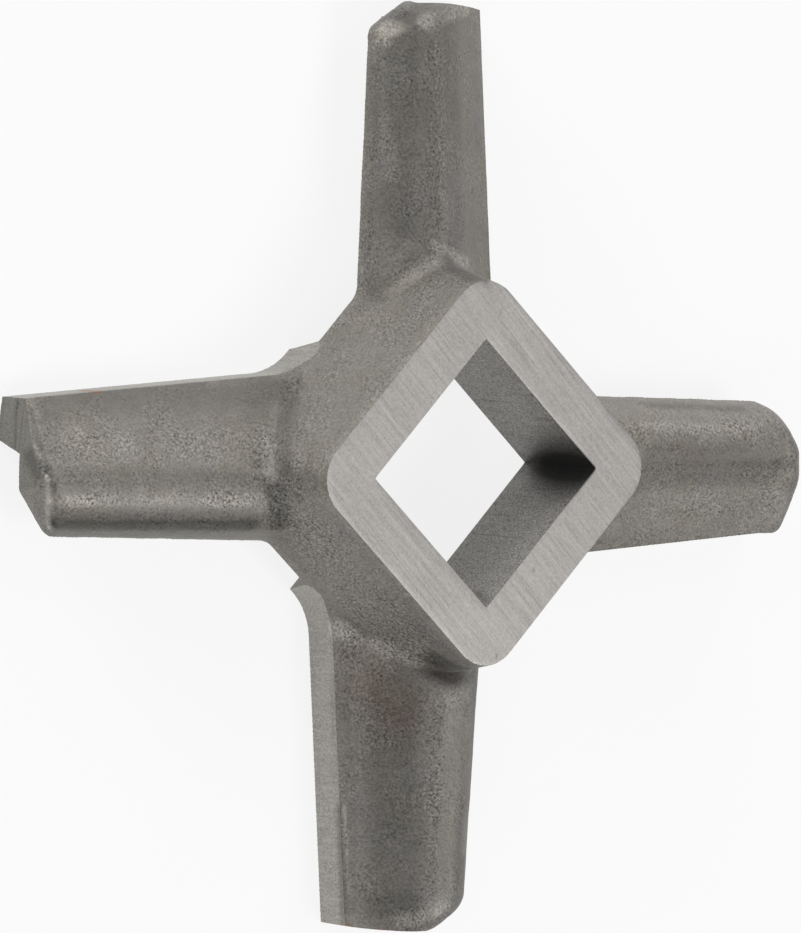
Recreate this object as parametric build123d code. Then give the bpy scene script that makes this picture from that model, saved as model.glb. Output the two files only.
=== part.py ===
"""Meat grinder knife: a four-armed cast steel cutter, made as one piece.

Frame: the origin lies on the axis of the drive hole, level with the cutting lands, and +Z runs
up that axis to the boss. The sides of the drive square are square to X and Y, so the four arms
point along the diagonals. Each arm is drawn once, along +X, with its leading side towards -Y.
"""
import os
from math import atan2, cos, radians, sin, tan

from build123d import *

# ---- driving dimensions, millimetres and degrees ----
arm_count = 4
tip_diameter = 47.0  # circle that the arm tips are turned to

# hub: a square boss whose corners point along the arms
hub_width = 14.85  # across the flats of the ground front face
hub_corner_radius = 2.05
hub_height = 8.65  # from the cutting lands to the front face
hub_draft = 10.7  # the walls flare out towards the back

# square hole for the feed screw's drive
drive_square = 9.5
drive_clearance = 0.05
drive_edge_break = 0.4  # chamfer where the hole leaves the back

# cutting side
land_height = 2.1  # the lands stand this far proud of the relieved back
land_width = 2.1
land_draft = 16.0  # slope of the cast walls round a land
relief_diameter = 14.4  # round clearance that keeps the lands away from the drive hole

# plan of an arm: both sides are straight and draw together towards the tip
lead_offset = 5.33  # ground leading side, where its line passes the hub axis
lead_taper = 2.73
trail_offset = 3.92  # cast trailing side at the back, likewise
trail_taper = 3.32

# ground flank of the leading side, with the run-out that the wheel leaves at the hub
edge_height = 2.15  # the flank's front edge above the lands
runout_radius = 3.5
runout_reach = 8.5  # the straight flank ends this far from the hub axis
runout_sweep = 65.0

# front of an arm: a slope up from the leading side, a crest, a rounded shoulder, a drafted wall
crest_offset = 0.43  # from the arm's centre line, carried back to the hub axis
crest_taper = 1.48
crest_height = 5.22  # likewise carried back to the hub axis
crest_fall = 2.1
crest_radius_root = 2.4
crest_radius_tip = 1.2
trail_draft = 15.0
shoulder_radius_root = 1.5
shoulder_radius_tip = 2.0
crest_share = 0.25  # of the flat front, that the crest's radius may take up; the shoulder has the rest

# cast end of an arm, before the tip is turned
tip_allowance = 0.4  # metal left for turning the tip
end_draft = 4.5
end_round = 0.9  # over the end and down its trailing corner
sweep_angle = 32.0  # the trailing half of the end is swept back
sweep_start = -0.36  # from the arm's centre line
sweep_radius = 3.5

# blend between the arms and the hub
root_radius = 1.2

# ---- values worked out from them ----
arm_angles = [45 + index * 360 / arm_count for index in range(arm_count)]
tip_radius = tip_diameter / 2
section_start = drive_square / 2  # arms are drawn from inside the hub
cast_reach = tip_radius + tip_allowance
section_end = cast_reach + 0.5
tool_reach = tip_radius + 3.0  # cutting tools start and end clear of the metal
tool_side = lead_offset + 6.0
edge_tolerance = 0.001


def lead_line(reach):
    """Place of the ground leading side, from the arm's centre line, at a distance from the axis."""
    return -(lead_offset - reach * tan(radians(lead_taper)))


def trail_line(reach):
    """Place of the trailing side at the back of the arm."""
    return trail_offset - reach * tan(radians(trail_taper))


def crest_line(reach):
    """Place of the crest, where the slope meets the flat front."""
    return crest_offset - reach * tan(radians(crest_taper))


def crest_level(reach):
    """Height of the arm's crest above the lands."""
    return crest_height - reach * tan(radians(crest_fall))


def make_hub():
    """Square boss, from its front face down to the relieved back."""
    front = Pos(0, 0, hub_height) * RectangleRounded(hub_width, hub_width, hub_corner_radius)
    return extrude(front, amount=-(hub_height - land_height), taper=-hub_draft)


def arm_section(reach, crest_radius, shoulder_radius):
    """Closed section of the cast arm, square to its centre line."""
    crest, top = crest_line(reach), crest_level(reach)
    lean = atan2(top - edge_height, crest - lead_line(reach))
    lead = lead_line(reach) - (edge_height - land_height) / tan(lean)
    trail = trail_line(reach)
    shoulder = trail - (top - land_height) * tan(radians(trail_draft))
    corners = [(lead, land_height), (crest, top), (shoulder, top), (trail, land_height)]
    profile = make_face(Polyline(*corners, close=True))

    # a radius is limited by the part of the flat front that it may take up
    flat = shoulder - crest
    shoulder_limit = flat * (1 - crest_share) / tan(radians(90 - trail_draft) / 2)
    crest_limit = flat * crest_share / tan(lean / 2)
    shoulder_corner = profile.vertices().sort_by(Axis.X)[-2]
    profile = fillet(shoulder_corner, min(shoulder_radius, shoulder_limit - edge_tolerance))
    crest_corner = profile.vertices().sort_by(Axis.X)[1]
    profile = fillet(crest_corner, min(crest_radius, crest_limit - edge_tolerance))
    return Plane(origin=(reach, 0, 0), x_dir=(0, 1, 0), z_dir=(1, 0, 0)) * profile


def arm_end():
    """Plan of what the mould leaves of an arm: a square end whose trailing half is swept back."""
    swept = cast_reach - (tool_side - sweep_start) * tan(radians(sweep_angle))
    corners = [
        (0, -tool_side),
        (cast_reach, -tool_side),
        (cast_reach, sweep_start),
        (swept, tool_side),
        (0, tool_side),
    ]
    plan = make_face(Polyline(*corners, close=True))
    corner = plan.vertices().sort_by_distance((cast_reach, sweep_start, 0))[0]
    return Pos(0, 0, land_height) * fillet(corner, sweep_radius)


def make_arm():
    """One arm as cast, with its end rounded over."""
    sections = [
        arm_section(section_start, crest_radius_root, shoulder_radius_root),
        arm_section(section_end, crest_radius_tip, shoulder_radius_tip),
    ]
    arm = loft(sections) & extrude(arm_end(), amount=hub_height, taper=end_draft)

    def round_the_end(edge):
        outer_half = edge.start_point().X > cast_reach / 2 and edge.end_point().X > cast_reach / 2
        return outer_half and edge.center().Z > land_height + edge_tolerance

    return fillet(arm.edges().filter_by(round_the_end), end_round)


def make_land():
    """Raised cutting land under an arm's leading side, from beyond the tip in to the hub."""
    inner = (lead_offset - land_width) / (1 + tan(radians(lead_taper)))
    outer = hub_width / 2
    corners = [
        (inner, -inner),
        (outer, -outer),
        (tool_reach, lead_line(tool_reach) - land_width),
        (tool_reach, lead_line(tool_reach) + land_width),
    ]
    return extrude(make_face(Polyline(*corners, close=True)), amount=land_height, taper=-land_draft)


def flank_cutter():
    """What the wheel takes off an arm's leading side: a straight flank and its curved run-out."""
    start = Vector(runout_reach, lead_line(runout_reach))
    away = Vector(sin(radians(lead_taper)), -cos(radians(lead_taper)))
    centre = start + away * runout_radius
    runout = CenterArc(centre, runout_radius, 90 + lead_taper, runout_sweep)
    last = runout @ 1
    path = runout + Polyline(
        last,
        (last.X, -tool_side),
        (tool_reach, -tool_side),
        (tool_reach, lead_line(tool_reach)),
        start,
    )
    return extrude(make_face(path), amount=hub_height)


def make_blank():
    """The casting: hub and arms, blended where they meet, with the lands under the arms."""
    hub = make_hub()
    arms = [Rot(0, 0, angle) * make_arm() for angle in arm_angles]
    blank = hub.fuse(*arms)
    roots = new_edges(hub, *arms, combined=blank)
    roots = roots.filter_by(lambda edge: edge.center().Z > land_height + edge_tolerance)
    blank = fillet(roots, root_radius)
    relief = extrude(Circle(relief_diameter / 2), amount=land_height, taper=land_draft)
    land = make_land() - relief
    for angle in arm_angles:
        blank += Rot(0, 0, angle) * land
    return blank


def cut_drive_hole(knife):
    """Square hole right through the hub, with its edge broken where it leaves the back."""
    hole = drive_square + drive_clearance
    knife -= extrude(Rectangle(hole, hole), amount=hub_height)

    def on_back_edge(edge):
        middle = edge.center()
        in_hole = max(abs(middle.X), abs(middle.Y)) < hole / 2 + edge_tolerance
        return in_hole and abs(middle.Z - land_height) < edge_tolerance

    return chamfer(knife.edges().filter_by(on_back_edge), drive_edge_break)


def make_knife():
    knife = make_blank()
    knife &= extrude(Circle(tip_radius), amount=hub_height)
    cutter = flank_cutter()
    for angle in arm_angles:
        knife -= Rot(0, 0, angle) * cutter
    return cut_drive_hole(knife)


os.makedirs("parts", exist_ok=True)
export_step(make_knife(), "parts/grinder_knife.step")
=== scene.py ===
# Look of the meat grinder knife: one cast, ground and turned piece of steel.
import math

import bmesh
import bpy
from mathutils import Matrix, Vector, geometry, kdtree, noise
from mathutils.bvhtree import BVHTree


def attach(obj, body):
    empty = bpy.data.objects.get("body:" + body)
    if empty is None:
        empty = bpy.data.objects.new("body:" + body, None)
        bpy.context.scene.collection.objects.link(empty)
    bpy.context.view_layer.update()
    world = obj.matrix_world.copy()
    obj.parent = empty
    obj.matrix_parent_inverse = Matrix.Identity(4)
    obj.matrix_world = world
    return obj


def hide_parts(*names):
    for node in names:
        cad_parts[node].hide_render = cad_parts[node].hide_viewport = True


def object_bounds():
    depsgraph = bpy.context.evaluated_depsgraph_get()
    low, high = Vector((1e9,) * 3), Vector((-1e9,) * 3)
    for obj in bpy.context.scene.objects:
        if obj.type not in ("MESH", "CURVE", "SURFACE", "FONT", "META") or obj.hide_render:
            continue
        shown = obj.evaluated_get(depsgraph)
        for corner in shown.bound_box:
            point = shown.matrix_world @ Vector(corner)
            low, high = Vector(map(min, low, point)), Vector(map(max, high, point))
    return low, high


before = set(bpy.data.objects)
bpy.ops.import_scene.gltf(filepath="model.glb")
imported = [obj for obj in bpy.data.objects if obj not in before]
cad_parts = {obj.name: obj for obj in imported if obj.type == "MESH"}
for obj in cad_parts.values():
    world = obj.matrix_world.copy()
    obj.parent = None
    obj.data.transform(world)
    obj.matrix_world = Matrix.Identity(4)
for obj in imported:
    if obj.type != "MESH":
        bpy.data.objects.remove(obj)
cadLow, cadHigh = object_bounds()
mm = 0.001  # the scene is in metres

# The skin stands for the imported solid, with fine faces, worn edges and the unevenness of a casting.
# Sizes in mm and degrees. Those of the worked surfaces repeat the solid's own.
knife = {
    "node": "grinder_knife",
    "piece": "knifeSkin",
    "slot": "cast_steel",
    "body": "root",
    # worked surfaces, and how near and how well turned a face has to be to belong to one
    "armCount": 4,
    "firstArm": 45.0,
    "hubTop": cadHigh[2] / mm,
    "holeHalf": 4.775,
    "tipRadius": 23.5,
    "flankStart": 8.5,  # the straight flank ends here and its run-out begins
    "flankOffset": 5.33,
    "flankTaper": 2.73,
    "runoutRadius": 3.5,
    "zoneGap": 0.035,
    "levelFacing": 0.8,  # the least cosine between the face's direction and the surface's
    "tipFacing": 0.8,
    "flankFacing": 0.85,
    "runoutFacing": 0.7,
    "holeTilt": 0.6,  # how far a wall may look up or down, as a share of its normal
    "flankTilt": 0.35,
    # mesh
    "mergeDistance": 0.001,
    "remeshDepth": 8,
    "remeshScale": 0.88,
    "flatQuad": 2.0,  # a face bent by more than this is cut along the edge that runs through it
    "sharpAngle": 24.0,
    "softening": 0.25,
    "crispAngle": 16.0,  # shading breaks at edges sharper than this
    "ridgeRounds": 30,  # reach of the measure of ridges and hollows
    "ridgeSoftening": 0.5,
    "ridgeGain": 9.0,
    # casting
    "waveDepth": 0.022,
    "waveSize": 1.9,
    "waveOctaves": 3,
    "waveFalloff": 1.0,
    "waveStep": 2.0,  # each octave is this much finer than the one before
    "pitDepth": 0.014,
    "pitSize": 0.5,
    "pitRarity": 0.15,
    # marks: stains, worn spots, and painted light and shade
    "markPlateau": 1.5,  # above 1, the middle of a wear mark has its full weight
    "markSearch": 1.2,  # how far points are looked for, in radii of the mark
    "markMargin": 0.1,  # a mark this far below the hub's front stays off it
    "frontDepth": 0.05,
    "frontFacing": 0.9,
}
zones = ["castSkin", "groundFront", "broachedWall", "groundFlank", "turnedTip", "groundLand"]
wearAndLightLayers = ["tone", "speckle", "rust"]
everyAxis = {"use_axis_x": True, "use_axis_y": True, "use_axis_z": True}
# Wear, stains and marks of the casting, and painted light and shade: from, to, radius, tone, speckle,
# rust, lift off the surface.
# Places, radius and lift are in mm, tone is a share of the brightness and on most arm marks paints
# highlights and shade, and speckle makes grain livelier.
# The arms are counted anticlockwise from the one between +X and +Y. Each has a slope up from its leading
# side, a crest, a flat front and a round shoulder. The order within an arm counts, as a lift moves the
# points for the marks after it.
wearAndLightMarks = [
    # first arm
    ((8.5, 4.2, 3.3), (17.7, 13.4, 3.0), 2.2, 0.34, -0.3, 0, 0),  # painted light on the slope, with calmer grain
    ((7.1, 9.3, 4.8), (13.5, 15.4, 4.3), 0.6, 0.1, 0.7, 0, 0),  # painted highlight on the shoulder, with livelier grain
    ((9.1, 9.4, 4.7), (15.4, 15.2, 4.4), 0.8, -0.20, 0, 0, 0),  # painted shade on the crest
    ((7.9, 11.8, 3.5), (12.4, 15.7, 3.4), 0.5, -0.24, 0, 0, 0),  # painted shade on the trailing side
    ((7.8, 10.3, 4.6), (12.6, 14.4, 4.4), 0.5, 0.16, 0.3, 0, 0),  # painted highlight along the shoulder
    ((11.1, 8.8, 3.8), (16.7, 13.8, 3.4), 0.8, 0.10, 0, 0, 0),  # painted light in a line on the slope
    ((17.5, 14.9, 3.3), (18.6, 13.9, 2.5), 1.5, 0, 0, 0, 0.15),  # fuller end
    ((11.0, 11.2, 4.6), (12.1, 12.4, 4.6), 0.7, -0.06, 0, 0.04, 0),  # olive stain on the crest
    ((9.8, 10.7, 4.7), (10.3, 11.4, 4.7), 0.4, -0.10, 0, 0.05, 0),  # stain on the flat front
    ((11.9, 8.8, 3.4), (17.4, 13.8, 3.1), 1.3, 0, 0.4, 0, 0),  # grainy slope
    ((14.2, 16.2, 4.2), (14.7, 16.3, 4.3), 0.4, -0.14, 0, 0, 0),  # dull end corner
    # second arm
    ((-10.2, 8.2, 4.4), (-16.9, 15.5, 4.2), 2.4, -0.34, 0, 0, 0),  # painted shade on the flat front and shoulder
    ((-8.6, 4.6, 3.4), (-17.4, 13.6, 3.0), 1.5, -0.14, 0, 0, 0),  # painted shade on the trailing side
    ((-4.0, 9.0, 3.0), (-13.2, 18.0, 3.0), 2.1, 0.27, -0.8, 0, 0),  # painted light on the slope, with calmer grain
    ((-17.1, 13.8, 3.1), (-17.2, 14.4, 3.3), 0.8, 0.42, 1, 0, 0),  # painted highlight on the end corner, with livelier grain
    ((-16.4, 15.4, 4.3), (-14.4, 18.4, 2.9), 0.6, 0.48, 1, 0, 0),  # painted highlight on the edge of the end, with livelier grain
    ((-17.0, 15.2, 2.8), (-16.9, 15.1, 4.0), 0.7, -0.16, 0, 0, 0),  # painted shade on the end between the painted highlights
    ((-14.3, 10.7, 3.4), (-12.2, 8.8, 3.9), 0.6, 0.1, 0.9, 0, 0),  # painted highlight in a band on the shoulder, with livelier grain
    ((-15.4, 15.1, 4.4), (-13.9, 13.2, 4.5), 0.8, 0.02, 0.5, 0, 0),  # speckled crest
    ((-12.6, 12.4, 4.5), (-8.8, 7.9, 4.8), 1.0, 0.02, 0.6, 0, 0),  # speckled crest, inner
    ((-7.9, 8.4, 4.6), (-15.5, 15.8, 4.3), 0.6, 0.18, 0.2, 0, 0),  # painted light on the side of the crest
    ((-10.0, 5.6, 2.6), (-16.1, 12.4, 2.6), 0.6, -0.12, 0, 0, 0),  # painted shade at the foot of the trailing side
    ((-6.6, 8.4, 4.2), (-5.0, 9.1, 3.2), 0.6, 0.14, 0.4, 0, 0),  # painted light at the root of the slope
    ((-8.9, 5.9, 4.6), (-9.1, 6.8, 4.7), 0.8, 0.08, 0, 0, 0),  # painted light at the root of the shoulder
    ((-8.2, 7.7, 4.8), (-5.6, 9.0, 3.5), 0.5, 0.40, 0.6, 0, 0.03),  # painted highlight at the root of the slope, with livelier grain
    ((-7.3, 7.5, 5.1), (-6.9, 6.7, 8.0), 0.9, -0.34, -0.5, 0, 0),  # painted shade in the root and hub corner, with calmer grain
    ((-8.5, 5.2, 4.5), (-7.7, 7.5, 4.9), 0.5, 0.14, 0.8, 0, 0),  # painted highlight along the root
    ((-17.3, 14.5, 2.0), (-16.95, 15.6, 2.0), 1.3, 0, 0, 0, 0.26),  # fuller end corner
    ((-6.75, 6.76, 8.64), (-3.35, 10.21, 2.15), 0.25, -0.2, 0, 0, 0),  # painted shade in a line down the hub's wall
    # third arm
    ((-9.5, -3.3, 2.8), (-18.7, -12.4, 2.8), 1.6, -0.18, -0.7, 0, 0),  # painted shade at the foot of the slope, with calmer grain
    ((-4.8, -7.9, 3.0), (-13.6, -16.8, 3.0), 1.3, -0.22, 0, 0, 0),  # painted shade on the trailing side
    ((-15.0, -16.0, 4.4), (-6.9, -8.5, 4.8), 0.5, 0.22, 0.9, 0, 0),  # painted highlight on the shoulder, with livelier grain
    ((-15.3, -16.3, 4.3), (-14.1, -15.3, 4.4), 0.4, 0.2, 1, 0, 0),  # painted highlight on the shoulder, outer
    ((-9.3, -10.8, 4.7), (-7.4, -9.0, 4.8), 0.5, 0.16, 1, 0, 0),  # painted highlight on the shoulder, inner
    ((-14.6, -16.9, 4.0), (-6.2, -9.1, 4.6), 0.5, -0.16, 0, 0, 0),  # painted shade on the lower shoulder
    ((-17.1, -14.1, 3.3), (-14.4, -11.8, 3.6), 1.3, 0.04, 1.1, 0, 0),  # speckled slope, outer
    ((-13.8, -11.7, 3.7), (-8.8, -6.3, 3.8), 1.3, 0.04, 0.6, 0, 0),  # speckled slope, inner
    ((-16.0, -15.5, 4.3), (-7.7, -7.8, 4.8), 0.5, -0.1, 0, 0, 0),  # painted shade on the crest
    ((-16.7, -15.7, 4.1), (-8.7, -8.3, 4.6), 0.5, -0.14, 0, 0, 0),  # painted shade in a line under the crest
    ((-14.5, -17.0, 3.6), (-6.3, -9.7, 4.3), 0.6, -0.36, 0, 0, 0),  # painted shade on the trailing side
    ((-15.2, -16.8, 4.1), (-7.1, -9.3, 4.8), 0.4, -0.12, 0, 0, 0),  # painted shade in a line on the shoulder
    ((-17.9, -13.3, 2.9), (-17.3, -14.3, 3.6), 0.9, -0.18, 0, 0, 0),  # painted shade on the slope by the end
    ((-18.7, -12.8, 2.2), (-12.4, -5.9, 2.2), 0.6, -0.1, 0, 0, 0),  # painted shade along the leading edge
    ((-8.8, -1.7, 2.3), (-7.5, -6.9, 5.7), 0.8, -0.18, 0, 0, 0),  # painted shade in the root of the slope
    ((-6.8, -7.9, 5.2), (-5.2, -8.5, 4.6), 0.8, -0.40, 0, 0, 0),  # painted shade in the root of the shoulder
    ((-16.62, -10.36, 1.10), (-16.50, -10.24, 2.00), 0.34, 0, 0, 1, 0),  # rust spot on the flank
    ((-17.66, -15.16, 3.46), (-16.59, -16.06, 4.09), 0.20, 0.45, 0.8, 0, 0.05),  # burr at the end
    ((-16.59, -16.06, 4.09), (-15.70, -16.71, 4.00), 0.20, 0.60, 0.9, 0, 0.06),  # burr, middle
    ((-15.70, -16.71, 4.00), (-14.15, -17.24, 2.85), 0.22, 0.65, 0.7, 0, 0.05),  # burr, trailing corner
    ((-16.22, -16.11, 4.27), (-14.24, -17.15, 3.31), 0.28, -0.40, 0, 0, -0.03),  # painted shadow behind the burr, in a slight dent
    ((-17.5, -15.7, 3.1), (-16.9, -16.0, 3.9), 0.8, -0.38, 0, 0, -0.10),  # hollow in the end, with painted shade in it
    ((-16.3, -16.7, 3.5), (-14.3, -17.3, 2.4), 0.6, -0.06, 0.8, 0, 0),  # rough cast end
    ((-19.22, -13.51, 1.55), (-17.86, -15.27, 1.60), 0.13, -0.45, 0, 0, -0.04),  # tool groove on the end, with painted shade in it
    ((-18.92, -13.25, 2.28), (-18.01, -14.50, 3.11), 0.15, 0.06, 0.6, 0, 0.02),  # painted highlight on the edge of the end, with livelier grain
    ((-18.85, -13.65, 2.45), (-17.64, -15.00, 3.45), 0.24, -0.32, 0, 0, 0),  # painted shade in a line along the end
    ((-17.64, -15.00, 3.45), (-16.90, -15.84, 3.93), 0.24, -0.30, 0, 0, 0),  # painted shade in that line, higher
    # fourth arm
    ((6.4, -9.6, 3.8), (14.7, -17.8, 3.8), 2.2, -0.34, 0, 0, 0),  # painted shade on the slope
    ((7.6, -5.1, 4.0), (16.8, -14.3, 4.0), 1.6, -0.06, -0.6, 0, 0),  # painted shade on the shoulder and trailing side, with calmer grain
    ((2.4, -8.9, 2.4), (3.1, -8.7, 2.8), 0.8, 0.44, 1.1, 0, 0),  # painted highlight on the root fillet, at the foot
    ((4.0, -8.4, 3.6), (5.6, -8.1, 5.0), 0.8, 0.54, 1.2, 0, 0),  # painted highlight on the root fillet, higher
    ((5.9, -7.9, 5.6), (7.6, -7.3, 5.2), 1.2, -0.36, 0, 0.03, 0),  # painted shade in the crease under the hub's corner, a little rust-tinted
    ((5.6, -7.8, 6.6), (7.6, -7.1, 7.3), 1.0, -0.42, 0, 0, 0),  # painted shade in the crease, hub side
    ((4.3, -9.3, 2.8), (7.3, -9.6, 3.8), 1.7, -0.08, 0.4, 0.07, 0),  # brown slope, inner
    ((5.4, -11.1, 2.6), (8.4, -11.0, 3.7), 1.6, -0.06, 0.3, 0.04, 0),  # brown slope, further out
    ((8.4, -8.5, 4.7), (8.9, -7.1, 4.8), 0.5, 0.10, 1, 0, 0),  # painted highlight on the flat front by the root, with livelier grain
    ((8.7, -8.7, 4.6), (11.3, -11.6, 4.4), 0.7, 0.04, 1.4, 0, 0),  # painted highlight on the crest, inner, with livelier grain
    ((11.6, -12.1, 4.3), (14.6, -14.9, 4.2), 0.5, 0.04, 1.1, 0, 0),  # painted highlight on the crest, outer, with livelier grain
    ((9.2, -6.7, 4.7), (15.0, -12.5, 4.3), 0.5, 0.24, 0, 0, 0),  # painted light on the shoulder
    ((8.6, -8.6, 4.6), (15.0, -15.0, 4.3), 0.7, -0.20, 0, 0, 0),  # painted shade on the crest
    ((4.3, -10.7, 2.3), (12.7, -18.5, 2.2), 0.8, -0.12, 0, 0, 0),  # painted shade along the leading edge
    ((14.6, -18.3, 2.9), (16.0, -17.0, 3.7), 0.16, 0, 0, 0.35, 0),  # rusty edge of the end
    ((15.0, -17.5, 3.5), (16.1, -15.4, 4.4), 0.5, 0.22, 0.8, 0, 0),  # painted highlight on the edge of the end, with livelier grain
    ((13.5, -17.7, 2.8), (14.5, -16.4, 3.8), 0.8, -0.12, 0, 0, 0),  # painted shade on the slope by the end
    ((13.33, -19.30, 1.78), (13.64, -19.10, 2.33), 0.16, 0, 0, 0.8, 0),  # rust at the flank's end
    ((8.90, -15.30, 2.05), (13.30, -19.20, 2.00), 0.30, -0.30, 0.2, 0, -0.02),  # unground strip
    ((8.95, -15.10, 2.30), (13.40, -19.05, 2.45), 0.16, 0.42, 0.8, 0, 0.02),  # pale edge of that strip
    ((6.9, -7.6, 5.4), (8.2, -6.9, 5.0), 0.8, -0.30, 0, 0, 0),  # painted shade in the crease, arm side
    ((2.61, -9.56, 1.96), (7.89, -14.37, 1.70), 0.10, -0.1, 0, 0, 0),  # painted shade in a line under the flank's edge
    # hub
    ((-7.6, -6.5, 6.4), (-7.2, -6.5, 8.1), 0.5, 0.1, 0.8, 0, 0),  # speckled corner over the third arm
    ((-5.5, -7.9, 5.5), (3.5, -7.9, 5.5), 2.8, 0, 1.5, 0, 0),  # rough -Y wall
    ((3.0, -7.7, 6.6), (5.4, -7.6, 7.4), 1.5, -0.12, 0, 0, 0),  # dull -Y wall by the fourth arm
    ((-5.14, 6.36, 8.65), (-5.11, 6.33, 8.65), 0.12, -0.4, 0, 0, 0),  # pit in the front
    ((5.58, -1.50, 8.65), (5.61, -1.54, 8.65), 0.12, -0.4, 0, 0, 0),  # second pit
    ((6.96, -6.03, 8.65), (6.99, -6.06, 8.65), 0.12, -0.4, 0, 0, 0),  # third pit
    # hole
    ((4.77, -4.40, 8.20), (4.77, -3.90, 7.00), 0.30, -0.35, 0.5, 0, 0),  # darker, speckled spot on the +X wall
    ((4.8, 4.8, 8.0), (4.8, 4.8, 7.2), 3.8, -0.42, 0, 0, 0),  # dark +X +Y corner, wide at the front
    ((4.8, 4.8, 8.0), (4.8, 4.8, 5.0), 2.3, -0.42, 0, 0, 0),  # dark +X +Y corner
    ((4.8, 4.8, 7.8), (4.8, 4.8, 2.4), 1.2, -0.35, 0, 0, 0),  # dark +X +Y corner, deep
]


def clamp(value, low, high):
    return max(low, min(high, value))


def armFrames(spec):
    # turns that bring each arm onto +X
    step = 360.0 / spec["armCount"]
    angles = [math.radians(spec["firstArm"] + i * step) for i in range(spec["armCount"])]
    return [Matrix.Rotation(-angle, 3, "Z") for angle in angles]


def flankLines(spec):
    # on an arm along +X: the end of the straight flank, the way it faces and the centre of its run-out
    taper = math.radians(spec["flankTaper"])
    away = Vector((math.sin(taper), -math.cos(taper), 0))
    start = Vector((spec["flankStart"], -spec["flankOffset"] + spec["flankStart"] * math.tan(taper), 0))
    return start, away, start + away * spec["runoutRadius"]


def onFlank(place, normal, spec, lines):
    # whether a face lies on the flank or run-out of the arm along +X
    start, away, wheel = lines
    gap = spec["zoneGap"]
    if abs(normal.z) > spec["flankTilt"] or place.x < 0 or place.y > 0:
        return False
    onStraight = place.x >= start.x - gap and abs((place - start).dot(away)) < gap
    if onStraight and normal.dot(away) > spec["flankFacing"]:
        return True
    onRunout = place.x < start.x + gap and abs((place - wheel).xy.length - spec["runoutRadius"]) < gap
    return onRunout and normal.dot((wheel - place).normalized()) > spec["runoutFacing"]


def zoneOf(centre, normal, spec, frames, lines):
    # which worked surface a face belongs to, from its place and direction
    gap = spec["zoneGap"]
    if centre.z > spec["hubTop"] - gap and normal.z > spec["levelFacing"]:
        return zones.index("groundFront")
    if centre.z < gap and normal.z < -spec["levelFacing"]:
        return zones.index("groundLand")
    inHole = max(abs(centre.x), abs(centre.y)) < spec["holeHalf"] + gap
    if inHole and abs(normal.z) < spec["holeTilt"]:
        return zones.index("broachedWall")
    fromAxis = centre.xy.length
    if fromAxis > spec["tipRadius"] - gap and normal.xy.dot(centre.xy) > spec["tipFacing"] * fromAxis:
        return zones.index("turnedTip")
    if any(onFlank(turn @ centre, turn @ normal, spec, lines) for turn in frames):
        return zones.index("groundFlank")
    return zones.index("castSkin")


def cutBentFaces(bm, surface, bent):
    # cuts each bent face along the diagonal that lies nearer to the true surface
    for face in list(bm.faces):
        a, b, c, d = face.verts
        firstHalf = (b.co - a.co).cross(c.co - a.co)
        otherHalf = (c.co - a.co).cross(d.co - a.co)
        if firstHalf.length and otherHalf.length and firstHalf.angle(otherHalf) < bent:
            continue
        offAC = surface.find_nearest((a.co + c.co) / 2)[3]
        offBD = surface.find_nearest((b.co + d.co) / 2)[3]
        corners = (a, c) if offAC < offBD else (b, d)
        bmesh.utils.face_split(face, *corners)


def makeSkin(spec):
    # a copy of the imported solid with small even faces
    bm = bmesh.new()
    bm.from_mesh(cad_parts[spec["node"]].data)
    bmesh.ops.remove_doubles(bm, verts=bm.verts, dist=spec["mergeDistance"] * mm)
    mesh = bpy.data.meshes.new(spec["piece"])
    bm.to_mesh(mesh)
    surface = BVHTree.FromBMesh(bm)
    bm.free()
    piece = bpy.data.objects.new(spec["piece"], mesh)
    bpy.context.scene.collection.objects.link(piece)
    remesh = piece.modifiers.new("evenFaces", "REMESH")
    remesh.mode = "SHARP"
    remesh.octree_depth = spec["remeshDepth"]
    remesh.scale = spec["remeshScale"]
    remesh.use_remove_disconnected = False
    evaluated = piece.evaluated_get(bpy.context.evaluated_depsgraph_get())
    piece.data = bpy.data.meshes.new_from_object(evaluated)
    piece.data.name = spec["piece"] + "Mesh"
    piece.modifiers.clear()

    bm = bmesh.new()
    bm.from_mesh(piece.data)
    cutBentFaces(bm, surface, math.radians(spec["flatQuad"]))
    bm.to_mesh(piece.data)
    bm.free()
    print("skin: remeshed to", len(piece.data.polygons), "faces")
    return piece


def softStep(value):
    value = clamp(value, 0.0, 1.0)
    return value * value * (3.0 - 2.0 * value)


def pointsAlong(tree, start, end, radius, search):
    # every point nearer than the radius to the line from start to end, and a few more
    steps = math.ceil((end - start).length / radius)
    near = set()
    for i in range(steps + 1):
        found = tree.find_range(start.lerp(end, i / steps), radius * search)
        near.update(index for _, index, _ in found)
    return near


def putWearAndLightMarks(bm, marks, spec):
    # each mark fades out from the line between its points, and one below the hub's front stays off it;
    # the marks hold stains, rust, worn spots and painted light and shade
    layers = [bm.verts.layers.float.new(name) for name in wearAndLightLayers]
    bm.verts.ensure_lookup_table()
    tree = kdtree.KDTree(len(bm.verts))
    for vert in bm.verts:
        tree.insert(vert.co / mm, vert.index)
    tree.balance()
    front = spec["hubTop"] - spec["frontDepth"]
    for start, end, radius, tone, speckle, rust, lift in marks:
        start, end = Vector(start), Vector(end)
        below = max(start.z, end.z) < spec["hubTop"] - spec["markMargin"]
        for index in pointsAlong(tree, start, end, radius, spec["markSearch"]):
            vert = bm.verts[index]
            if below and vert.normal.z > spec["frontFacing"] and vert.co.z / mm > front:
                continue
            place = vert.co / mm
            along = geometry.intersect_point_line(place, start, end)[1]
            foot = start.lerp(end, clamp(along, 0.0, 1.0))
            weight = softStep(spec["markPlateau"] * (1.0 - (place - foot).length / radius))
            for layer, amount in zip(layers, (tone, speckle, rust)):
                vert[layer] += amount * weight
            outward = Vector((vert.normal.x, vert.normal.y, max(0.0, vert.normal.z)))
            vert.co += outward * lift * weight * mm


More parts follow.
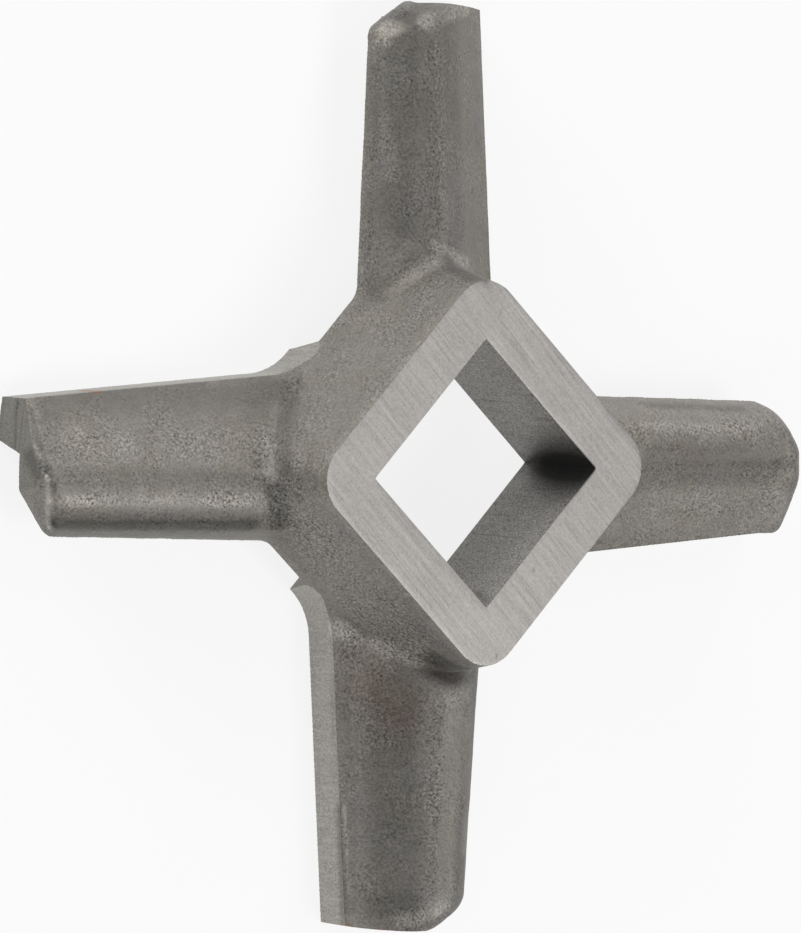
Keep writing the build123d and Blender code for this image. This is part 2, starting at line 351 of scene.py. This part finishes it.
def roughenCast(bm, spec):
    # slow waves and small pits on what was left as cast
    cast = zones.index("castSkin")
    character = (spec["waveFalloff"], spec["waveStep"], spec["waveOctaves"])
    for vert in bm.verts:
        if any(face.material_index != cast for face in vert.link_faces):
            continue
        place = vert.co / mm
        wave = noise.fractal(place / spec["waveSize"], *character) * spec["waveDepth"]
        pit = min(0.0, noise.noise(place / spec["pitSize"]) + spec["pitRarity"]) * spec["pitDepth"]
        vert.co += vert.normal * (wave + pit) * mm


def measureRidges(bm, spec):
    # how far each point stands off a smoothed copy, from -1 in a hollow to 1 on a ridge
    smooth = bm.copy()
    for _ in range(spec["ridgeRounds"]):
        bmesh.ops.smooth_vert(smooth, verts=smooth.verts, factor=spec["ridgeSoftening"], **everyAxis)
    ridge = bm.verts.layers.float.new("ridge")
    smooth.verts.ensure_lookup_table()
    for vert in bm.verts:
        height = (vert.co - smooth.verts[vert.index].co).dot(vert.normal) / mm
        vert[ridge] = clamp(height * spec["ridgeGain"], -1.0, 1.0)
    smooth.free()


def finishSkin(piece, spec):
    # zones, worn edges, cast unevenness, the marks of stains, worn spots and painted light and shade,
    # and the measure of ridges, inside the solid's box
    bm = bmesh.new()
    bm.from_mesh(piece.data)
    bm.normal_update()
    frames = armFrames(spec)
    lines = flankLines(spec)
    for face in bm.faces:
        face.smooth = True
        face.material_index = zoneOf(face.calc_center_median() / mm, face.normal, spec, frames, lines)

    limit = math.radians(spec["sharpAngle"])
    sharp = {v for e in bm.edges if e.is_manifold and e.calc_face_angle() > limit for v in e.verts}
    bmesh.ops.smooth_vert(bm, verts=list(sharp), factor=spec["softening"], **everyAxis)
    bm.normal_update()
    roughenCast(bm, spec)
    putWearAndLightMarks(bm, wearAndLightMarks, spec)
    for vert in bm.verts:
        vert.co = Vector(clamp(c, low, high) for c, low, high in zip(vert.co, cadLow, cadHigh))
    bm.normal_update()

    crisp = math.radians(spec["crispAngle"])
    for edge in bm.edges:
        edge.smooth = not edge.is_manifold or edge.calc_face_angle() < crisp
    measureRidges(bm, spec)
    bm.to_mesh(piece.data)
    bm.free()
    print("skin: worn and roughened,", len(sharp), "edge points")


def addNode(tree, kind, settings=None, inputs=None):
    # a new node, each of whose inputs is a fixed value or a link
    node = tree.nodes.new(kind)
    for name, value in (settings or {}).items():
        setattr(node, name, value)
    for name, value in (inputs or {}).items():
        if isinstance(value, bpy.types.NodeSocket):
            tree.links.new(value, node.inputs[name])
        else:
            node.inputs[name].default_value = value
    return node


def mathNode(tree, operation, a, b=0.0, clamped=False):
    node = addNode(tree, "ShaderNodeMath", {"operation": operation, "use_clamp": clamped}, {0: a, 1: b})
    return node.outputs[0]


def weighted(tree, start, *terms):
    # start plus each value, taken from its middle, times its weight
    total = start
    for value, middle, weight in terms:
        centred = mathNode(tree, "SUBTRACT", value, middle)
        total = mathNode(tree, "ADD", total, mathNode(tree, "MULTIPLY", centred, weight))
    return total


def rampNode(tree, value, low, high, outLow=0.0, outHigh=1.0):
    settings = {"interpolation_type": "SMOOTHSTEP"}
    inputs = {"Value": value, "From Min": low, "From Max": high, "To Min": outLow, "To Max": outHigh}
    return addNode(tree, "ShaderNodeMapRange", settings, inputs).outputs["Result"]


def mixColour(tree, share, a, b):
    # inputs 0, 6 and 7 are the share and the two colours
    node = addNode(tree, "ShaderNodeMix", {"data_type": "RGBA"})
    for socket, value in ((node.inputs[0], share), (node.inputs[6], a), (node.inputs[7], b)):
        if isinstance(value, bpy.types.NodeSocket):
            tree.links.new(value, socket)
        else:
            socket.default_value = value if isinstance(value, float) else (*value, 1.0)
    return node.outputs[2]


def newGroup(name, inputs, outputs):
    # a node group with value sockets
    tree = bpy.data.node_groups.new(name, "ShaderNodeTree")
    kind = "NodeSocketFloat"
    for socketName, value in inputs.items():
        socket = tree.interface.new_socket(name=socketName, in_out="INPUT", socket_type=kind)
        socket.default_value = value
    for socketName in outputs:
        tree.interface.new_socket(name=socketName, in_out="OUTPUT", socket_type=kind)
    given = tree.nodes.new("NodeGroupInput").outputs
    result = tree.nodes.new("NodeGroupOutput").inputs
    return tree, given, result


def scaleVector(tree, vector, factor):
    inputs = {0: vector, "Scale": factor}
    return addNode(tree, "ShaderNodeVectorMath", {"operation": "SCALE"}, inputs).outputs[0]


def placeInMm(tree):
    coordinates = addNode(tree, "ShaderNodeTexCoord").outputs["Object"]
    return scaleVector(tree, coordinates, 1 / mm)


def noiseAt(tree, place, frequency, detail, roughness, offset):
    if offset:
        shift = addNode(tree, "ShaderNodeVectorMath", {"operation": "ADD"}, {0: place, 1: (offset,) * 3})
        place = shift.outputs[0]
    inputs = {"Vector": place, "Scale": frequency, "Detail": detail, "Roughness": roughness}
    return addNode(tree, "ShaderNodeTexNoise", None, inputs).outputs["Fac"]


# Each noise has its frequency, detail, roughness and offset. The slow ones count the frequency per mm,
# and the fine ones as a share of the grain's own. A step is where a noise is taken from 0 to 1.
grainNoise = {
    "size": 0.12,
    "slow": {
        "Blotch": (0.22, 3.0, 0.6, 11.0),
        "Tint": (0.35, 2.0, 0.5, 71.0),
        "Mottle": (1.3, 3.0, 0.6, 23.0),
        "Patch": (0.6, 2.0, 0.5, 5.0),
    },
    "fine": {
        "Grain": (1.0, 2.0, 0.7, 0.0),
        "Coarse": (0.4, 2.0, 0.5, 0.0),
        "Sparkle": (1.1, 1.0, 0.5, 37.0),
        "Pit": (0.55, 1.0, 0.5, 53.0),
    },
    "steps": {"Patch": (0.42, 0.62), "Sparkle": (0.58, 0.74), "Pit": (0.30, 0.20)},
}


def makeGrainGroup(spec):
    # blasted surface: slow blotches and tints, mottling, fine grain in patches, bright and dark points
    outputs = ["Blotch", "Tint", "Mottle", "Patch", "Grain", "Sparkle", "Pit", "Height"]
    tree, given, result = newGroup("blastedGrain", {"Size": spec["size"]}, outputs)
    place = placeInMm(tree)
    finest = mathNode(tree, "DIVIDE", 1.0, given["Size"])
    values = {}
    for name, (frequency, *character) in spec["slow"].items():
        values[name] = noiseAt(tree, place, frequency, *character)
    for name, (share, *character) in spec["fine"].items():
        values[name] = noiseAt(tree, place, mathNode(tree, "MULTIPLY", finest, share), *character)
    for name, (low, high) in spec["steps"].items():
        values[name] = rampNode(tree, values[name], low, high)
    values["Height"] = mathNode(tree, "ADD", values["Grain"], values["Coarse"])
    for name in outputs:
        tree.links.new(values[name], result[name])
    return tree


# Noises as above, in spacings across the marks and in lengths along them.
markNoise = {
    "spacing": 0.1,
    "length": 4.0,
    "fine": (1.0, 3.0, 0.65, 0.0),
    "deep": (0.45, 1.0, 0.5, 17.0),
    "deepStep": (0.60, 0.72),
    "deepRelief": 0.5,
}


def makeMarksGroup(spec):
    # straight or round tool marks, drawn out along one coordinate of the surface
    inputs = {"Along": 0.0, "Across": 0.0, "Spacing": spec["spacing"], "Length": spec["length"]}
    tree, given, result = newGroup("toolMarks", inputs, ["Fine", "Deep", "Height"])
    drawn = {
        "X": mathNode(tree, "DIVIDE", given["Along"], given["Length"]),
        "Y": mathNode(tree, "DIVIDE", given["Across"], given["Spacing"]),
        "Z": 0.5,
    }
    place = addNode(tree, "ShaderNodeCombineXYZ", None, drawn).outputs[0]
    fine = noiseAt(tree, place, *spec["fine"])
    deep = noiseAt(tree, place, *spec["deep"])
    relief = mathNode(tree, "MULTIPLY", deep, spec["deepRelief"])
    tree.links.new(fine, result["Fine"])
    tree.links.new(rampNode(tree, deep, *spec["deepStep"]), result["Deep"])
    tree.links.new(mathNode(tree, "SUBTRACT", fine, relief), result["Height"])
    return tree


# Where the mesh's measure of ridges counts as the start of a ridge or hollow, and as a full one.
ridgeSteps = {"reach": 1.0, "Ridge": (0.12, 0.45), "Hollow": (-0.12, -0.6)}


def makeWearAndLightGroup(spec):
    # what the mesh itself carries: ridges, hollows for painted shade, and the tone, speckle and rust of
    # its marks, which hold painted light and shade as well as stains and worn spots
    outputs = ["Ridge", "Hollow"] + [name.capitalize() for name in wearAndLightLayers]
    tree, given, result = newGroup("wearAndPaintedLight", {"Reach": spec["reach"]}, outputs)
    measure = addNode(tree, "ShaderNodeAttribute", {"attribute_name": "ridge"}).outputs["Fac"]
    scaled = mathNode(tree, "MULTIPLY", measure, given["Reach"])
    for name in ("Ridge", "Hollow"):
        tree.links.new(rampNode(tree, scaled, *spec[name]), result[name])
    for name in wearAndLightLayers:
        carried = addNode(tree, "ShaderNodeAttribute", {"attribute_name": name}).outputs["Fac"]
        tree.links.new(carried, result[name.capitalize()])
    return tree


groups = {
    "blastedGrain": makeGrainGroup(grainNoise),
    "toolMarks": makeMarksGroup(markNoise),
    "wearAndPaintedLight": makeWearAndLightGroup(ridgeSteps),
}
print("node groups: done")


def useGroup(tree, name, **inputs):
    return addNode(tree, "ShaderNodeGroup", {"node_tree": groups[name]}, inputs).outputs


def startMaterial(name, metallic, specular=0.5):
    material = bpy.data.materials.new(name)
    material.use_nodes = True
    tree = material.node_tree
    shader = tree.nodes["Principled BSDF"]
    shader.inputs["Metallic"].default_value = metallic
    shader.inputs["Specular IOR Level"].default_value = specular
    return material, tree, shader


def putBump(tree, shader, height, distance):
    inputs = {"Height": height, "Distance": distance * mm, "Strength": 1.0}
    bump = addNode(tree, "ShaderNodeBump", None, inputs)
    tree.links.new(bump.outputs["Normal"], shader.inputs["Normal"])


def shaded(tree, colour, tone):
    # the colour times the tone, which is 1 for the colour as it is written
    if isinstance(colour, bpy.types.NodeSocket):
        return scaleVector(tree, colour, tone)
    brightest = 2.5  # the tone of a fixed colour goes no higher
    share = mathNode(tree, "DIVIDE", tone, brightest, True)
    return mixColour(tree, share, (0.0, 0.0, 0.0), tuple(brightest * part for part in colour))


rustColour = (0.27, 0.12, 0.055)
noiseMiddle = 0.5
noiseSpread = (0.3, 0.7)  # nearly all of a noise lies between these
castLook = {
    "grey": (0.226, 0.215, 0.200),
    "olive": (0.226, 0.213, 0.188),
    "oliveStep": (0.40, 0.62),
    "sparkle": (0.46, 0.45, 0.42),
    "sparkleStep": (0.2, 1.8),  # from calm to lively grain
    "sparkleShare": (0.03, 0.30),
    "pit": (0.07, 0.065, 0.055),
    "pitShare": 0.6,
    "grainSize": 0.13,
    "grain": 1.7,  # contrast of the grain, and what its lively patches add
    "livelyGrain": 1.2,
    "mottle": 0.34,
    "blotch": 0.35,
    "wearReach": 1.0,
    # ridges paler, partly rubbed metal and partly painted highlight; hollows darker, as painted shade
    "ridgeTone": 0.10,
    "paintedHollowShade": -0.22,
    "darkest": 0.1,
    "bump": 0.030,
    "metallic": 0.7,
    "roughness": (0.48, 0.66),
}


def makeCastSteel(look):
    material, tree, shader = startMaterial("castSteel", look["metallic"])
    grain = useGroup(tree, "blastedGrain", Size=look["grainSize"])
    wearAndLight = useGroup(tree, "wearAndPaintedLight", Reach=look["wearReach"])
    lively = mathNode(tree, "ADD", grain["Patch"], wearAndLight["Speckle"])
    contrast = weighted(tree, look["grain"], (lively, 0.0, look["livelyGrain"]))
    # paler on ridges, partly rubbed metal and partly painted highlight; darker in hollows as painted
    # shade
    tone = weighted(
        tree,
        1.0,
        (grain["Grain"], noiseMiddle, contrast),
        (grain["Mottle"], noiseMiddle, look["mottle"]),
        (grain["Blotch"], noiseMiddle, look["blotch"]),
        (wearAndLight["Ridge"], 0.0, look["ridgeTone"]),
        (wearAndLight["Hollow"], 0.0, look["paintedHollowShade"]),
    )
    # the marks' tone, which on the arms mostly paints highlights and shade
    tone = mathNode(tree, "MULTIPLY", tone, mathNode(tree, "ADD", wearAndLight["Tone"], 1.0))
    olive = rampNode(tree, grain["Tint"], *look["oliveStep"])
    colour = mixColour(tree, olive, look["grey"], look["olive"])
    colour = shaded(tree, colour, mathNode(tree, "MAXIMUM", tone, look["darkest"]))
    brightness = rampNode(tree, lively, *look["sparkleStep"], *look["sparkleShare"])
    sparkle = mathNode(tree, "MULTIPLY", grain["Sparkle"], brightness)
    colour = mixColour(tree, sparkle, colour, look["sparkle"])
    pit = mathNode(tree, "MULTIPLY", grain["Pit"], look["pitShare"])
    colour = mixColour(tree, pit, colour, look["pit"])
    colour = mixColour(tree, wearAndLight["Rust"], colour, rustColour)
    roughness = rampNode(tree, grain["Grain"], *noiseSpread, *look["roughness"])
    tree.links.new(colour, shader.inputs["Base Color"])
    tree.links.new(roughness, shader.inputs["Roughness"])
    putBump(tree, shader, grain["Height"], look["bump"])
    return material


# The worked surfaces. Spacing and length of the tool marks and the depth of the bump are in mm. Fine,
# deep, grain and blotch say how much each adds to the tone.
groundLooks = {
    "groundFront": {
        "colour": (0.392, 0.375, 0.358),
        "marks": "lengthwise",
        "spacing": 0.11,
        "length": 3.4,
        "fine": 0.95,
        "deep": -0.06,
        "grain": 0.8,
        "blotch": 0.30,
        "bump": 0.003,
        "metallic": 0.7,
        "roughness": (0.40, 0.52),
    },
    "groundFlank": {
        "colour": (0.345, 0.330, 0.302),
        "marks": "upright",
        "spacing": 0.16,
        "length": 1.6,
        "fine": 0.9,
        "deep": -0.05,
        "grain": 1.7,
        "blotch": 0.25,
        "bump": 0.005,
        "metallic": 0.7,
        "roughness": (0.42, 0.56),
    },
    "groundLand": {
        "colour": (0.44, 0.43, 0.41),
        "marks": "round",
        "spacing": 0.10,
        "length": 7.0,
        "fine": 0.9,
        "deep": -0.10,
        "grain": 0.25,
        "blotch": 0.25,
        "bump": 0.004,
        "metallic": 0.75,
        "roughness": (0.34, 0.46),
    },
    "turnedTip": {
        "colour": (0.184, 0.177, 0.159),
        "marks": "turned",
        "spacing": 0.20,
        "length": 2.5,
        "fine": 0.9,
        "deep": -0.16,
        "grain": 1.7,
        "blotch": 0.30,
        "bump": 0.008,
        "metallic": 0.7,
        "roughness": (0.42, 0.58),
    },
    "broachedWall": {
        "colour": (0.270, 0.260, 0.245),
        "marks": "upright",
        "spacing": 0.14,
        "length": 2.2,
        "fine": 0.8,
        "deep": -0.2,
        "grain": 3.2,
        "blotch": 0.35,
        "bump": 0.010,
        "metallic": 0.65,
        "roughness": (0.44, 0.60),
    },
}
groundGrainSize = 0.10  # mm
groundDarkest = 0.08
lengthwiseSlant = 0.045  # of the hub front's marks, off X
uprightTurn = 0.3  # share of the arc in the place across upright marks


def markCoordinates(tree, kind):
    # coordinates in mm along and across the tool marks of one kind, with arcs as long as at the tips
    axes = addNode(tree, "ShaderNodeSeparateXYZ", None, {0: placeInMm(tree)}).outputs
    x, y, z = axes[0], axes[1], axes[2]
    if kind == "lengthwise":
        return x, mathNode(tree, "ADD", y, mathNode(tree, "MULTIPLY", x, lengthwiseSlant))
    squares = mathNode(tree, "ADD", mathNode(tree, "MULTIPLY", x, x), mathNode(tree, "MULTIPLY", y, y))
    outward = mathNode(tree, "SQRT", squares)
    arc = mathNode(tree, "MULTIPLY", mathNode(tree, "ARCTAN2", y, x), knife["tipRadius"])
    if kind == "upright":
        return z, mathNode(tree, "ADD", outward, mathNode(tree, "MULTIPLY", arc, uprightTurn))
    return arc, (z if kind == "turned" else outward)


def makeGround(name, look):
    material, tree, shader = startMaterial(name, look["metallic"])
    along, across = markCoordinates(tree, look["marks"])
    sizes = {"Spacing": look["spacing"], "Length": look["length"]}
    marks = useGroup(tree, "toolMarks", Along=along, Across=across, **sizes)
    grain = useGroup(tree, "blastedGrain", Size=groundGrainSize)
    wearAndLight = useGroup(tree, "wearAndPaintedLight")
    tone = weighted(
        tree,
        1.0,
        (marks["Fine"], noiseMiddle, look["fine"]),
        (marks["Deep"], 0.0, look["deep"]),
        (grain["Grain"], noiseMiddle, look["grain"]),
        (grain["Blotch"], noiseMiddle, look["blotch"]),
    )
    # the marks' tone, which mostly paints highlights and shade
    tone = mathNode(tree, "MULTIPLY", tone, mathNode(tree, "ADD", wearAndLight["Tone"], 1.0))
    colour = shaded(tree, look["colour"], mathNode(tree, "MAXIMUM", tone, groundDarkest))
    colour = mixColour(tree, wearAndLight["Rust"], colour, rustColour)
    roughness = rampNode(tree, marks["Fine"], *noiseSpread, *look["roughness"])
    tree.links.new(colour, shader.inputs["Base Color"])
    tree.links.new(roughness, shader.inputs["Roughness"])
    putBump(tree, shader, marks["Height"], look["bump"])
    return material


# In metres, where nothing else is said.
stage = {
    "floorHalf": 1.5,
    "floorDrop": 0.02,  # mm under the lands
    "floorColour": (0.86, 0.86, 0.86),
    "floorRoughness": 0.9,
    "floorGlow": 0.84,  # share of plain white that the eye sees in the floor; the rest keeps the shadow
    "world": 0.25,
    "lampDistance": 0.9,
    "lampSize": 0.45,
    # name, bearing and height in degrees, power in watts
    "lamps": [
        ("leftLow", 180.0, 12.0, 4.2),
        ("farLow", 120.0, 10.0, 2.6),
        ("rightHigh", 0.0, 60.0, 3.0),
        ("nearMiddle", 270.0, 32.0, 1.9),
        ("farMiddle", 90.0, 32.0, 1.5),
    ],
    "camera": (-0.18757, -0.15060, 0.34648),
    "right": (0.58245, 0.58018, 0.5693),
    "up": (-0.67981, 0.73171, -0.0502),
    "back": (-0.44569, -0.35773, 0.8206),
    "focal": 8285.0,  # in the same pixels as the long side
    "longSide": 933.0,
    "sensor": 36.0,  # mm
    "clip": (0.01, 20.0),
}


def eyeShare(tree):
    # 1 where the eye, a reflection or a view through glass meets the surface
    path = addNode(tree, "ShaderNodeLightPath").outputs
    share = mathNode(tree, "MAXIMUM", path["Is Camera Ray"], path["Is Glossy Ray"])
    return mathNode(tree, "MAXIMUM", share, path["Is Transmission Ray"])


def makeFloor(spec):
    bm = bmesh.new()
    bmesh.ops.create_grid(bm, x_segments=1, y_segments=1, size=spec["floorHalf"])
    bmesh.ops.translate(bm, verts=bm.verts, vec=(0, 0, -spec["floorDrop"] * mm))
    mesh = bpy.data.meshes.new("floor")
    bm.to_mesh(mesh)
    bm.free()
    floor = bpy.data.objects.new("floor", mesh)
    bpy.context.scene.collection.objects.link(floor)
    material, tree, shader = startMaterial("paleFloor", 0.0, 0.0)
    shader.inputs["Base Color"].default_value = (*spec["floorColour"], 1.0)
    shader.inputs["Roughness"].default_value = spec["floorRoughness"]
    glow = addNode(tree, "ShaderNodeEmission", None, {"Color": (1, 1, 1, 1), "Strength": 1.0})
    share = mathNode(tree, "MULTIPLY", eyeShare(tree), spec["floorGlow"])
    parts = {0: share, 1: shader.outputs[0], 2: glow.outputs[0]}
    mixed = addNode(tree, "ShaderNodeMixShader", None, parts)
    tree.links.new(mixed.outputs[0], tree.nodes["Material Output"].inputs["Surface"])
    mesh.materials.append(material)


def makeLights(spec):
    world = bpy.data.worlds.new("studio")
    world.use_nodes = True
    bpy.context.scene.world = world
    sky = world.node_tree.nodes["Background"]
    sky.inputs["Color"].default_value = (1, 1, 1, 1)
    sky.inputs["Strength"].default_value = spec["world"]

    for name, bearing, height, power in spec["lamps"]:
        light = bpy.data.lights.new(name, "AREA")
        light.shape = "DISK"
        light.size = spec["lampSize"]
        light.energy = power
        lamp = bpy.data.objects.new(name, light)
        turn = Matrix.Rotation(math.radians(bearing), 3, "Z")
        tilt = Matrix.Rotation(math.radians(-height), 3, "Y")
        toLamp = turn @ tilt @ Vector((1, 0, 0))
        lamp.location = toLamp * spec["lampDistance"]
        lamp.rotation_mode = "QUATERNION"
        lamp.rotation_quaternion = toLamp.to_track_quat("Z", "Y")
        bpy.context.scene.collection.objects.link(lamp)


def makeCamera(spec):
    data = bpy.data.cameras.new("camera")
    data.sensor_width = spec["sensor"]
    data.lens = spec["focal"] / spec["longSide"] * spec["sensor"]
    data.clip_start, data.clip_end = spec["clip"]
    camera = bpy.data.objects.new("camera", data)
    axes = Matrix((spec["right"], spec["up"], spec["back"])).transposed().to_4x4()
    camera.matrix_world = Matrix.Translation(spec["camera"]) @ axes
    bpy.context.scene.collection.objects.link(camera)
    bpy.context.scene.camera = camera


def main():
    skin = makeSkin(knife)
    skin.data.materials.append(makeCastSteel(castLook))
    for name in zones[1:]:
        skin.data.materials.append(makeGround(name, groundLooks[name]))
    print("materials: done")
    finishSkin(skin, knife)
    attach(skin, knife["body"])
    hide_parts(knife["node"])
    makeFloor(stage)
    makeLights(stage)
    makeCamera(stage)
    bpy.context.scene.view_settings.view_transform = "Standard"
    print("stage: done")


main()
